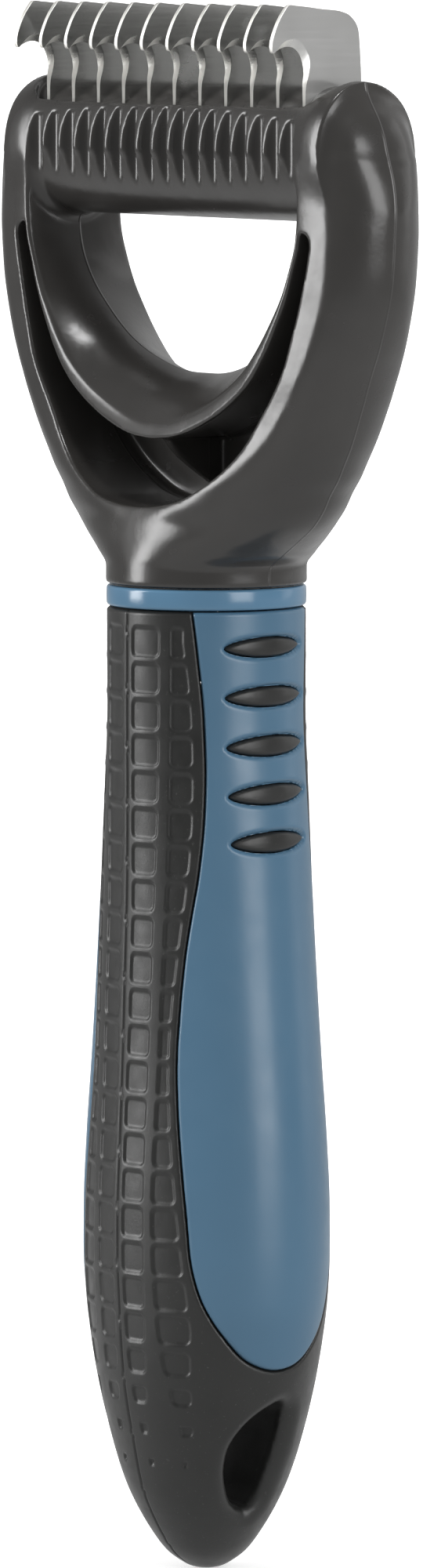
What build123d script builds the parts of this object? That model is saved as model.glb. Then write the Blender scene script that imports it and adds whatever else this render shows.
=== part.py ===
from build123d import *
import math
import os

# Undercoat rake for pet grooming, millimetres.
# +Z runs from the grip end up to the blades, the blades stand in a row along X,
# and their hooked tips point to -Y, the front.
# Origin: lowest point of the grip, on its axis.

os.makedirs("parts", exist_ok=True)

# ---------------------------------------------------------------- shared dimensions
FIT = 0.05                   # moulded-in clearance all round
JOINT_GAP = 0.2              # gap below and above the collar ring

GRIP_TOP = 117.9             # handle face under the ring
RING_Z0, RING_Z1 = GRIP_TOP + JOINT_GAP, 120.6
HEAD_Z0 = RING_Z1 + JOINT_GAP  # bottom face of the head moulding

TANG_TOP = (13.0, 9.0)       # tang section at the ring, X by Y
TANG_END = (8.0, 5.0)        # tang section at its lower end
TANG_CORNER_R = 1.15
TANG_Z0, TANG_Z1 = 46.0, GRIP_TOP + 0.1

BLADES = 11
BLADE_PITCH = 5.08
BLADE_T = 0.8
ROOT_Z = 170.0               # where the blade root starts to taper
FOOT_Z = 168.6               # lower end of the blade root

ROD_R = 1.25                 # locking rod through the blade roots
ROD_Y, ROD_Z = -0.4, 172.6
ROD_LEN = 55.0


def centred(count, pitch):
    """Evenly pitched positions, centred on zero."""
    return [(i - (count - 1) / 2) * pitch for i in range(count)]


def tang_section(size, gap):
    """Tang section grown by a gap, drawn in the sketch that is open."""
    return RectangleRounded(size[0] + 2 * gap, size[1] + 2 * gap, TANG_CORNER_R + gap)


def save(part, name):
    part.label = name
    export_step(part, f"parts/{name}.step")


BLADE_X = centred(BLADES, BLADE_PITCH)

# ---------------------------------------------------------------- handle envelopes
CORE_WALL = 2.6              # soft grip thickness over the core

# handle sections: height, half width in X, half depth in Y
HANDLE = [
    (7.2, 8.17, 8.17), (9.6, 9.45, 9.36), (12.0, 10.6, 10.15), (14.4, 11.75, 10.7),
    (16.9, 12.7, 11.2), (19.3, 13.45, 11.74), (24.1, 14.75, 12.6), (28.9, 15.95, 13.07),
    (33.8, 16.9, 13.35), (39.5, 17.18, 13.62), (45.0, 17.1, 13.62), (53.0, 16.75, 13.28),
    (62.7, 15.8, 12.86), (72.3, 14.9, 12.53), (86.6, 13.8, 12.11), (96.2, 13.0, 12.05),
    (105.8, 12.2, 12.1), (GRIP_TOP, 12.08, 12.07),
]
TIP_Z, TIP_R, _ = HANDLE[0]
# rounded lower end: (radius, Z), from its small flat up to the first handle section
TIP = [(0.8, 0), (1.9, 0.33), (3.15, 1.0), (4.84, 2.3), (6.7, 4.75), (TIP_R, TIP_Z)]


def handle_body(inset):
    """Handle from its first section up, with every section drawn in by an inset."""
    with BuildPart() as body:
        for z, half_x, half_y in HANDLE:
            with BuildSketch(Plane.XY.offset(z)):
                if half_x == half_y:
                    Circle(half_x - inset)
                else:
                    Ellipse(half_x - inset, half_y - inset)
        loft()
    return body.part


with BuildPart() as envelope:
    add(handle_body(0))
    with BuildSketch(Plane.XZ):
        with BuildLine():
            Line((0, 0), TIP[0])
            Spline(*TIP, tangents=((1, 0), (0.5, 0.9)))
            Polyline(TIP[-1], (0, TIP_Z), (0, 0))
        make_face()
    revolve(axis=Axis.Z)

# ---------------------------------------------------------------- side panel prisms
PANEL_REACH = 20             # either way along X, past the handle surface
PANEL_GAP = 0.16             # between the panel edge and the soft grip

# outline of the hard side panel, seen along X: (Y, Z),
# down the front edge, round the foot and up the back edge
PANEL = [
    (-8.75, 117.8), (-8.19, 114.3), (-7.9, 111.5), (-7.5, 106.7), (-7.35, 101.1), (-7.5, 95.4),
    (-7.9, 89.8), (-8.42, 85.0), (-9.18, 78.4), (-9.98, 70.9), (-10.5, 65.2), (-10.85, 59.5),
    (-11.08, 53.5), (-11.05, 48.0), (-10.9, 43.5), (-10.55, 38.7), (-9.95, 34.9), (-9.0, 31.7),
    (-7.4, 29.0), (-5.0, 26.9), (-2.4, 25.9), (0.3, 25.8), (2.6, 26.6), (4.8, 28.2),
    (6.6, 30.7), (7.9, 34.2), (8.9, 38.7), (9.9, 43.5), (10.6, 48.0), (10.95, 53.5),
    (10.85, 59.5), (10.5, 65.2), (9.98, 70.9), (9.18, 78.4), (8.42, 85.0), (7.9, 89.8),
    (7.5, 95.4), (7.35, 101.1), (7.5, 106.7), (7.9, 111.5), (8.19, 114.3), (8.75, 117.8),
]


def grown(points, gap):
    """Outline moved outwards by a gap; the points run with the inside on their left."""
    moved = []
    for i, (y, z) in enumerate(points):
        y0, z0 = points[max(i - 1, 0)]
        y1, z1 = points[min(i + 1, len(points) - 1)]
        run = math.hypot(y1 - y0, z1 - z0)
        moved.append((y + gap * (z1 - z0) / run, z - gap * (y1 - y0) / run))
    return moved


def panel_prism(outline, top_y, top_z):
    """Prism along X of an outline, closed by a straight top of half width top_y."""
    with BuildPart() as prism:
        with BuildSketch(Plane.YZ):
            with BuildLine():
                Spline(*outline)
                Polyline(outline[-1], (top_y, top_z), (-top_y, top_z), outline[0])
            make_face()
        extrude(amount=PANEL_REACH, both=True)
    return prism.part


# ---------------------------------------------------------------- hang hole and pad outlines
HANG_CENTRE = (-1.4, 14.9)   # (Y, Z)
HANG_SPAN = 6.4              # between the slot's end centres
HANG_R = 3.4
HANG_REACH = 25              # either way along X, past the handle surface
LINING_T = 1.5               # soft lining of the hole
LINING_X = 9.5               # the lining runs this far either way
MOUTH_X0, MOUTH_X1 = 8.6, 13.4  # start and end of the flare at each mouth
MOUTH_FLARE = 1.5

PAD_Z = [113.45, 107.6, 101.7, 95.9, 90.05]
PAD_Y = 0.2
PAD_HALF_Y, PAD_HALF_Z = 6.2, 1.3
PAD_TILT = 3.5               # degrees
PAD_X = 9.05                 # inner face of a pad
PAD_REACH = 10               # outwards, past the handle surface
PAD_GAP = 0.1                # round the edge of a pad


def hang_outline(grow):
    """Hang hole slot grown by an amount, drawn in the sketch that is open."""
    return SlotCenterToCenter(HANG_SPAN, 2 * (HANG_R + grow), rotation=90)


def pad_outline(grow):
    """Pad ellipse grown by an amount, drawn in the sketch that is open."""
    return Ellipse(PAD_HALF_Y + grow, PAD_HALF_Z + grow, rotation=PAD_TILT)


# ---------------------------------------------------------------- handle core and side panels
with BuildPart() as handle_core:
    add(envelope.part)
    add(panel_prism(PANEL, PANEL[-1][0], GRIP_TOP), mode=Mode.INTERSECT)
    add(handle_body(CORE_WALL))
    # socket for the head's tang
    with BuildSketch(Plane.XY.offset(TANG_Z0 - 0.5)):
        tang_section(TANG_END, FIT)
    with BuildSketch(Plane.XY.offset(TANG_Z1)):
        tang_section(TANG_TOP, FIT)
    loft(mode=Mode.SUBTRACT)
    # room for the soft lining of the hang hole
    with BuildSketch(Plane.YZ):
        with Locations(HANG_CENTRE):
            hang_outline(LINING_T)
    extrude(amount=HANG_REACH, both=True, mode=Mode.SUBTRACT)
    # windows for the grip pads
    for pad_z in PAD_Z:
        for side in (1, -1):
            with BuildSketch(Plane.YZ.offset(side * (PAD_X - FIT))):
                with Locations((PAD_Y, pad_z)):
                    pad_outline(PAD_GAP)
            extrude(amount=side * PAD_REACH, mode=Mode.SUBTRACT)
save(handle_core.part, "handle_core")

# ---------------------------------------------------------------- soft grip
with BuildPart() as soft_grip:
    add(envelope.part)
    add(handle_body(CORE_WALL - FIT), mode=Mode.SUBTRACT)
    # window for the side panels, run out above the handle
    add(panel_prism(grown(PANEL, PANEL_GAP), 9.2, 120.0), mode=Mode.SUBTRACT)
    # lining through the core, then the hang hole itself
    with BuildSketch(Plane.YZ.offset(-LINING_X)):
        with Locations(HANG_CENTRE):
            hang_outline(LINING_T - FIT)
    extrude(amount=2 * LINING_X)
    with BuildSketch(Plane.YZ):
        with Locations(HANG_CENTRE):
            hang_outline(0)
    extrude(amount=HANG_REACH, both=True, mode=Mode.SUBTRACT)
    # flared mouths
    for side in (1, -1):
        for mouth_x, flare in ((MOUTH_X0, 0), (MOUTH_X1, MOUTH_FLARE)):
            with BuildSketch(Plane.YZ.offset(side * mouth_x)):
                with Locations(HANG_CENTRE):
                    hang_outline(flare)
        loft(mode=Mode.SUBTRACT)
save(soft_grip.part, "soft_grip")

# ---------------------------------------------------------------- grip pads, five a side
for side, side_name in ((1, "right"), (-1, "left")):
    for number, pad_z in enumerate(PAD_Z, start=1):
        with BuildPart() as pad:
            with BuildSketch(Plane.YZ.offset(side * PAD_X)):
                with Locations((PAD_Y, pad_z)):
                    pad_outline(0)
            extrude(amount=side * PAD_REACH)
            add(envelope.part, mode=Mode.INTERSECT)
        save(pad.part, f"grip_pad_{side_name}_{number}")

# ---------------------------------------------------------------- collar ring
RING_R, RING_IN_R = 12.12, 9.1
RING_BEVEL = 0.35

with BuildPart() as collar_ring:
    with BuildSketch(Plane.XZ):
        with BuildLine():
            Polyline(
                (RING_IN_R, RING_Z0),
                (RING_R - RING_BEVEL, RING_Z0),
                (RING_R, RING_Z0 + RING_BEVEL),
                (RING_R, RING_Z1 - RING_BEVEL),
                (RING_R - RING_BEVEL, RING_Z1),
                (RING_IN_R, RING_Z1),
                close=True,
            )
        make_face()
    revolve(axis=Axis.Z)
save(collar_ring.part, "collar_ring")

# ---------------------------------------------------------------- blades and their rod
ROD_HOLE_R = 1.32            # in the blades
ROD_HOLE_CUT = 10            # cut length, past both blade faces

# blade profile, (Y, Z): up the front and under the hook to its tip
BLADE_FRONT = [
    (-4.6, 179.3), (-4.78, 181.6), (-4.72, 182.6), (-4.75, 183.9), (-5.15, 185.3),
    (-5.95, 186.2), (-6.9, 186.5), (-8.0, 186.3), (-9.1, 185.45), (-9.6, 185.3),
]
# from the tip up the nose of the hook
BLADE_NOSE = [
    (-9.6, 185.3), (-9.86, 185.62), (-9.87, 186.35), (-9.35, 187.98), (-8.62, 189.39),
    (-7.64, 190.62),
]
# over the crest and down the back
BLADE_CREST = [
    (-7.41, 190.89), (-4.86, 190.75), (0.87, 190.04), (2.24, 189.29), (3.07, 188.1),
    (3.3, 186.68), (3.53, 183.7), (3.64, 180.9),
]
ROOT_Y0, ROOT_Y1 = BLADE_FRONT[0][0], BLADE_CREST[-1][0]  # front and back of the root
FOOT_Y0, FOOT_Y1 = -3.6, 2.6

with BuildPart() as blade_base:
    with BuildSketch(Plane.YZ.offset(-BLADE_T / 2)):
        with BuildLine():
            Line((ROOT_Y0, ROOT_Z), BLADE_FRONT[0])
            Spline(*BLADE_FRONT)
            Spline(*BLADE_NOSE)
            Line(BLADE_NOSE[-1], BLADE_CREST[0])
            Spline(*BLADE_CREST)
            Polyline(BLADE_CREST[-1], (ROOT_Y1, ROOT_Z), (FOOT_Y1, FOOT_Z),
                     (FOOT_Y0, FOOT_Z), (ROOT_Y0, ROOT_Z))
        make_face()
    extrude(amount=BLADE_T)
    with BuildSketch(Plane.YZ.offset(-ROD_HOLE_CUT / 2)):
        with Locations((ROD_Y, ROD_Z)):
            Circle(ROD_HOLE_R)
    extrude(amount=ROD_HOLE_CUT, mode=Mode.SUBTRACT)

for number, x in enumerate(BLADE_X, start=1):
    with BuildPart() as blade:
        add(Pos(x, 0, 0) * blade_base.part)
    save(blade.part, f"blade_{number:02d}")

with BuildPart() as blade_rod:
    with BuildSketch(Plane.YZ.offset(-ROD_LEN / 2)):
        with Locations((ROD_Y, ROD_Z)):
            Circle(ROD_R)
    extrude(amount=ROD_LEN)
save(blade_rod.part, "blade_rod")

# ---------------------------------------------------------------- head frame
# paddle sections: height, half width in X, half depth in Y, corner radius
HEAD = [
    (HEAD_Z0, 12.36, 12.1, 12.05), (123.0, 12.5, 12.07, 12.0), (126.7, 16.0, 11.75, 11.1),
    (130.5, 19.75, 11.0, 9.72), (134.3, 23.2, 9.75, 8.04), (138.1, 26.3, 8.7, 6.66),
    (141.9, 28.75, 8.2, 5.8), (147.6, 31.6, 7.85, 5.42), (153.3, 33.8, 7.55, 5.21),
    (159.0, 35.15, 7.32, 5.05), (164.0, 35.65, 7.24, 5.0), (170.4, 35.35, 7.2, 4.97),
    (174.2, 34.4, 7.2, 4.97), (178.0, 33.35, 7.2, 4.97), (183.0, 32.6, 7.2, 4.97),
]
ARM_HALF_Y = 7.3             # half depth of the arc over the arms
ARM_CLEAR_Y = 14             # past the paddle, front and back

# outer corner of an arm, seen along Y: (X, Z), right side, and the block beyond it
ARM_CORNER = [(34.6, 175.0), (33.4, 178.3), (31.8, 180.2), (28.6, 181.85)]
CORNER_CLEAR_X, CORNER_CLEAR_Z = 40, 186

# wall of the opening under the bar, (X, Z) right half, at mid depth and at the rims
OPENING_MID = [
    (26.9, 190.0), (26.6, 172.0), (25.9, 164.6), (24.8, 160.0), (22.6, 156.6),
    (19.8, 153.8), (14.4, 149.8), (8.9, 147.5), (3.5, 146.3), (0.0, 146.2),
]
OPENING_RIM = [
    (27.0, 190.0), (27.0, 172.0), (26.85, 164.6), (25.85, 160.8), (24.35, 156.4),
    (22.75, 153.3), (17.6, 146.5), (11.7, 142.6), (4.8, 140.2), (0.0, 139.75),
]
# distance in front of mid depth, share of the way from the mid wall to the rim wall
OPENING_STATIONS = [(9.6, 1.0), (4.2, 0.28), (0.0, 0.0), (-4.2, 0.28), (-9.6, 1.0)]

# cross bar, elliptical in section
BAR_Z, BAR_RZ, BAR_RY = 173.4, 8.4, 6.75
# X, half depth in Y
BAR_STATIONS = [
    (-31.0, 7.15), (-27.5, 6.98), (-24.0, 6.82), (-19.0, BAR_RY), (-9.5, BAR_RY), (0.0, BAR_RY),
    (9.5, BAR_RY), (19.0, BAR_RY), (24.0, 6.82), (27.5, 6.98), (31.0, 7.15),
]

# pocket between the opening's wall and the outer wall, (X, Z) right half
POCKET_OUT = [
    (29.05, 162.2), (28.3, 158.8), (27.25, 155.0), (25.95, 151.0), (24.3, 147.0), (22.4, 143.9),
    (17.9, 137.9), (14.7, 135.0), (11.5, 133.0), (8.2, 131.5), (4.5, 130.7), (0.0, 130.4),
]
POCKET_IN = [
    (27.35, 162.2), (26.1, 159.5), (24.9, 156.2), (23.3, 153.0), (21.1, 149.3),
    (18.3, 145.8), (14.3, 142.8), (9.9, 140.6), (5.0, 139.0), (0.0, 138.5),
]
POCKET_TOP_X, POCKET_TOP_Z = 28.2, 163.05  # crown of the rounded pocket ends
POCKET_REACH = 25.0
WEB_Y0, WEB_Y1 = 2.0, 4.0    # web between the deep front pocket and the back pocket

# gusset rib on the centre line, (Y, Z): down its front edge, up its back edge
RIB_FRONT = [
    (-6.1, 138.6), (-4.8, 136.65), (-3.1, 135.3), (-1.5, 134.2), (0.36, 133.0), (2.2, 131.4),
    (2.6, 129.6),
]
RIB_BACK = [(3.4, 129.6), (3.8, 131.6), (4.8, 134.4), (5.8, 138.6)]
RIB_TOP_Z = 139.4
RIB_T = 1.4

SPIGOT_R = 9.0
SCOOP_DEPTH = 0.5            # below the crest of the bar
SCOOP_Y = -0.3
SCOOP_SIZE = (58.6, 9.0)     # X by Y

SLOT_W = 0.9                 # blade slot in the bar
SLOT_TOP_Z = 186.0
SLOT_MOUTH_Y = -4.9          # front wall of the slot's wider mouth
FOOT_GAP = 0.02              # slot clearance in Y at the blade foot

NOTCHES, NOTCH_PITCH = 17, 3.13
NOTCH_W = 1.8
NOTCH_DEPTH_R = 1.5          # notch ellipse, half size in Y
NOTCH_OUT = 0.55             # ellipse centre in front of the bar face


def mirrored(points):
    """Right half points from the top down, continued up the left side."""
    return points + [(-x, z) for x, z in reversed(points[:-1])]


with BuildPart() as head_frame:
    # paddle with full-round sides, widening from the round neck to the arms
    for z, half_x, half_y, corner_r in HEAD:
        with BuildSketch(Plane.XY.offset(z)):
            RectangleRounded(2 * half_x, 2 * half_y, corner_r)
    loft()
    # rounded top of the arms, seen along X
    with BuildSketch(Plane.YZ):
        with BuildLine():
            Polyline((ARM_HALF_Y, BAR_Z), (ARM_CLEAR_Y, BAR_Z), (ARM_CLEAR_Y, HEAD_Z0),
                     (-ARM_CLEAR_Y, HEAD_Z0), (-ARM_CLEAR_Y, BAR_Z), (-ARM_HALF_Y, BAR_Z))
            ThreePointArc((-ARM_HALF_Y, BAR_Z), (0, BAR_Z + BAR_RZ), (ARM_HALF_Y, BAR_Z))
        make_face()
    extrude(amount=60, both=True, mode=Mode.INTERSECT)
    # rounded outer corners of the arms
    for side in (-1, 1):
        corner = [(side * x, z) for x, z in ARM_CORNER]
        clear_x = side * CORNER_CLEAR_X
        with BuildSketch(Plane.XZ):
            with BuildLine():
                Spline(*corner)
                Polyline(corner[-1], (corner[-1][0], CORNER_CLEAR_Z), (clear_x, CORNER_CLEAR_Z),
                         (clear_x, corner[0][1]), corner[0])
            make_face()
        extrude(amount=20, both=True, mode=Mode.SUBTRACT)
    # opening under the bar, open at the top until the bar is added
    for forward, share in OPENING_STATIONS:
        wall = mirrored([
            (mid[0] + share * (rim[0] - mid[0]), mid[1] + share * (rim[1] - mid[1]))
            for mid, rim in zip(OPENING_MID, OPENING_RIM)
        ])
        with BuildSketch(Plane.XZ.offset(forward)):
            with BuildLine():
                Spline(*wall)
                Line(wall[-1], wall[0])
            make_face()
    loft(mode=Mode.SUBTRACT)
    # cross bar, a little slimmer than the arms
    for x, half_y in BAR_STATIONS:
        with BuildSketch(Plane.YZ.offset(x)):
            with Locations((0, BAR_Z)):
                Ellipse(half_y, BAR_RZ)
    loft()
    # pockets from the front and from the back, with the web left between
    outer, inner = mirrored(POCKET_OUT), mirrored(POCKET_IN)
    for y, reach in ((WEB_Y0, POCKET_REACH), (WEB_Y1, -POCKET_REACH)):
        with BuildSketch(Plane.XZ.offset(-y)):
            with BuildLine():
                Spline(*outer)
                ThreePointArc(outer[-1], (-POCKET_TOP_X, POCKET_TOP_Z), inner[-1])
                Spline(*inner)
                ThreePointArc(inner[0], (POCKET_TOP_X, POCKET_TOP_Z), outer[0])
            make_face()
        extrude(amount=reach, mode=Mode.SUBTRACT)
    # gusset rib
    with BuildSketch(Plane.YZ.offset(-RIB_T / 2)):
        with BuildLine():
            Spline(*RIB_FRONT)
            Line(RIB_FRONT[-1], RIB_BACK[0])
            Spline(*RIB_BACK)
            Polyline(RIB_BACK[-1], (RIB_BACK[-1][0], RIB_TOP_Z),
                     (RIB_FRONT[0][0], RIB_TOP_Z), RIB_FRONT[0])
        make_face()
    extrude(amount=RIB_T)
    # neck spigot inside the ring, run 2 mm up into the head, and the tang
    with BuildSketch(Plane.XY.offset(GRIP_TOP + FIT)):
        Circle(SPIGOT_R)
    extrude(amount=HEAD_Z0 + 2 - GRIP_TOP)
    with BuildSketch(Plane.XY.offset(TANG_Z0)):
        tang_section(TANG_END, 0)
    with BuildSketch(Plane.XY.offset(TANG_Z1)):
        tang_section(TANG_TOP, 0)
    loft()
    # scoop along the crest of the bar that the blades rise from
    with BuildSketch(Plane.XY.offset(BAR_Z + BAR_RZ - SCOOP_DEPTH)):
        with Locations((0, SCOOP_Y)):
            SlotOverall(*SCOOP_SIZE)
    extrude(amount=6, mode=Mode.SUBTRACT)
    # blade slots, open at the crest, and the bore for the locking rod
    for x in BLADE_X:
        with BuildSketch(Plane.YZ.offset(x - SLOT_W / 2)):
            with BuildLine():
                Polyline(
                    (SLOT_MOUTH_Y, SLOT_TOP_Z),
                    (SLOT_MOUTH_Y, 178.4),
                    (ROOT_Y0 - FIT, 178.2),
                    (ROOT_Y0 - FIT, ROOT_Z - FIT),
                    (FOOT_Y0 - FOOT_GAP, FOOT_Z - FIT),
                    (FOOT_Y1 + FOOT_GAP, FOOT_Z - FIT),
                    (ROOT_Y1 + FIT, ROOT_Z - FIT),
                    (ROOT_Y1 + FIT, SLOT_TOP_Z),
                    close=True,
                )
            make_face()
        extrude(amount=SLOT_W, mode=Mode.SUBTRACT)
    with BuildSketch(Plane.YZ.offset(-ROD_LEN / 2 - FIT)):
        with Locations((ROD_Y, ROD_Z)):
            Circle(ROD_R + FIT)
    extrude(amount=ROD_LEN + 2 * FIT, mode=Mode.SUBTRACT)
    # notches across the front of the bar, shorter towards its ends
    for x in centred(NOTCHES, NOTCH_PITCH):
        half_z = 4.25 - 1.15 * (abs(x) / 25.0) ** 2
        with BuildSketch(Plane.YZ.offset(x - NOTCH_W / 2)):
            with Locations((-BAR_RY - NOTCH_OUT, BAR_Z)):
                Ellipse(NOTCH_DEPTH_R, half_z)
        extrude(amount=NOTCH_W, mode=Mode.SUBTRACT)
save(head_frame.part, "head_frame")
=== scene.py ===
"""A comb-like hand tool with eleven steel blades, standing upright on a pale sweep.

The tool's long axis is Z: the handle's tip is at z = 0 and the blades are at the top.
X runs across its width, from blade to blade.  Y runs through its depth, with the front
at -Y.  Shape sizes are in millimetres; stage, lights, camera and shaders are in metres.
"""

import math

import bmesh
import bpy
import numpy as np
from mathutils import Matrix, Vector


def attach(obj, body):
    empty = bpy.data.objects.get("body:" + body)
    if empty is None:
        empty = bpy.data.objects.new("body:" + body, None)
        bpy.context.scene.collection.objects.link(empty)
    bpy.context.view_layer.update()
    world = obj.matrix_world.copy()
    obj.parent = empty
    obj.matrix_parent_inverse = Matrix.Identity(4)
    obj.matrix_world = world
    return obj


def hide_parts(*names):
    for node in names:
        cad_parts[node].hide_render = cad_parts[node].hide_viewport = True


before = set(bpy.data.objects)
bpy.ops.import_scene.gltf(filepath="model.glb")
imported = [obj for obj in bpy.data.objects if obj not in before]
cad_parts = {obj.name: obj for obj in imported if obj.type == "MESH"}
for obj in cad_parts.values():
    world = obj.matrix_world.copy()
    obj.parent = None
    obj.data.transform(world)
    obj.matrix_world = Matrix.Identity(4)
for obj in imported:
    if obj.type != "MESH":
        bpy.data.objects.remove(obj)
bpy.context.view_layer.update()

MM = 0.001


# ----------------------------------------------------------------------------
# curves and distances
# ----------------------------------------------------------------------------
def hermite(t, start, end, slope_start, slope_end):
    return (start * (1 + 2 * t) * (1 - t) ** 2 + slope_start * t * (1 - t) ** 2
            + end * t * t * (3 - 2 * t) + slope_end * t * t * (t - 1))


def monotone(stations, values):
    """Monotone cubic through points; returns a function that takes arrays."""
    stations = np.asarray(stations, float)
    values = np.asarray(values, float)
    gaps = np.diff(stations)
    rises = np.diff(values) / gaps
    slopes = np.zeros_like(values)
    for i in range(1, len(stations) - 1):
        if rises[i - 1] * rises[i] > 0:
            before, after = 2 * gaps[i] + gaps[i - 1], gaps[i] + 2 * gaps[i - 1]
            slopes[i] = (before + after) / (before / rises[i - 1] + after / rises[i])
    slopes[0], slopes[-1] = rises[0], rises[-1]

    def curve(place):
        place = np.asarray(place, float)
        i = np.clip(np.searchsorted(stations, place) - 1, 0, len(gaps) - 1)
        t = np.clip((place - stations[i]) / gaps[i], 0, 1)
        return hermite(t, values[i], values[i + 1], slopes[i] * gaps[i], slopes[i + 1] * gaps[i])
    return curve


def spline(points, steps=8, closed=False):
    """Smooth curve through points, with `steps` pieces per span."""
    pts = np.asarray(points, float)
    if closed:
        pts = np.vstack([pts[-1], pts, pts[0], pts[1]])
    else:
        pts = np.vstack([2 * pts[0] - pts[1], pts, 2 * pts[-1] - pts[-2]])
    out = []
    for i in range(1, len(pts) - 2):
        before, start, end, after = pts[i - 1], pts[i], pts[i + 1], pts[i + 2]
        span = max(np.linalg.norm(end - start), 1e-6)
        span_before = max(np.linalg.norm(start - before), 1e-6)
        span_after = max(np.linalg.norm(after - end), 1e-6)
        slope_start = ((end - start) / span - (end - before) / (span_before + span)
                       + (start - before) / span_before)
        slope_end = ((after - end) / span_after - (after - start) / (span + span_after)
                     + (end - start) / span)
        for k in range(steps):
            out.append(hermite(k / steps, start, end, slope_start * span, slope_end * span))
    if not closed:
        out.append(pts[-2])
    return np.array(out)


def outline_distance(across, along, outline):
    """Distance from points to a closed outline, negative inside."""
    outline = np.asarray(outline, float)
    shape = across.shape
    x, y = across.ravel(), along.ravel()
    nearest = np.full(x.shape, 1e9)
    inside = np.zeros(x.shape, bool)
    for i in range(len(outline)):
        start_x, start_y = outline[i]
        end_x, end_y = outline[(i + 1) % len(outline)]
        edge_x, edge_y = end_x - start_x, end_y - start_y
        length_sq = edge_x * edge_x + edge_y * edge_y
        if length_sq < 1e-14:
            continue
        to_x, to_y = x - start_x, y - start_y
        t = np.clip((to_x * edge_x + to_y * edge_y) / length_sq, 0, 1)
        nearest = np.minimum(nearest, (to_x - t * edge_x) ** 2 + (to_y - t * edge_y) ** 2)
        crosses = (start_y > y) != (end_y > y)
        if edge_y != 0:
            inside ^= crosses & (x < (end_x - start_x) * (y - start_y) / edge_y + start_x)
    distance = np.sqrt(nearest)
    return np.where(inside, -distance, distance).reshape(shape)


def smooth_max(a, b, blend):
    """Maximum of two fields, rounded where they are within `blend` of each other."""
    near = np.maximum(blend - np.abs(a - b), 0) / blend
    return np.maximum(a, b) + near * near * blend * 0.25


def smooth_min(a, b, blend):
    return -smooth_max(-a, -b, blend)


def rounded_box(over_x, over_y, radius):
    """Distance to a rounded rectangle, from the overshoots past its corner centres."""
    return (np.sqrt(np.maximum(over_x, 0) ** 2 + np.maximum(over_y, 0) ** 2)
            + np.minimum(np.maximum(over_x, over_y), 0) - radius)


def mirrored(points):
    """Half outline that ends on the centre line, followed by its mirror image."""
    return points + flipped(points[:-1])


def flipped(points):
    return [(-x, z) for x, z in reversed(points)]


# ----------------------------------------------------------------------------
# meshes
# ----------------------------------------------------------------------------
def new_mesh(name, verts, faces, unit=MM):
    """Smooth-shaded object.  faces: a list of tuples, or an (n, 4) array."""
    mesh = bpy.data.meshes.new(name)
    verts = np.asarray(verts, dtype=np.float64) * unit
    if isinstance(faces, np.ndarray):
        corners = faces.shape[1]
        mesh.vertices.add(len(verts))
        mesh.vertices.foreach_set("co", verts.astype(np.float32).ravel())
        mesh.loops.add(faces.size)
        mesh.loops.foreach_set("vertex_index", faces.astype(np.int32).ravel())
        mesh.polygons.add(len(faces))
        starts = np.arange(0, faces.size, corners, dtype=np.int32)
        mesh.polygons.foreach_set("loop_start", starts)
        mesh.polygons.foreach_set("loop_total", np.full(len(faces), corners, dtype=np.int32))
        mesh.update(calc_edges=True)
        mesh.validate()
    else:
        mesh.from_pydata([tuple(v) for v in verts], [], faces)
        mesh.update()
    mesh.polygons.foreach_set("use_smooth", np.ones(len(mesh.polygons), dtype=bool))
    return link_object(name, mesh)


def link_object(name, data):
    ob = bpy.data.objects.new(name, data)
    bpy.context.scene.collection.objects.link(ob)
    return ob


def mark_sharp(bm, angle):
    for edge in bm.edges:
        if len(edge.link_faces) == 2 and edge.calc_face_angle(0) > angle:
            edge.smooth = False


def sharpen(ob, angle):
    """Break the shading along edges that turn more than `angle` radians."""
    bm = bmesh.new()
    bm.from_mesh(ob.data)
    mark_sharp(bm, angle)
    bm.to_mesh(ob.data)
    bm.free()


def give(ob, material):
    ob.data.materials.clear()
    ob.data.materials.append(material)


def place(ob, material, piece, slot):
    """Give the object its material and let it stand in for a CAD piece."""
    give(ob, material)
    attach(ob, "root")
    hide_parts(piece)


# ----------------------------------------------------------------------------
# materials
# ----------------------------------------------------------------------------
MID_NOISE = (0.3, 0.7)   # the span of noise values that is spread over a range


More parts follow.
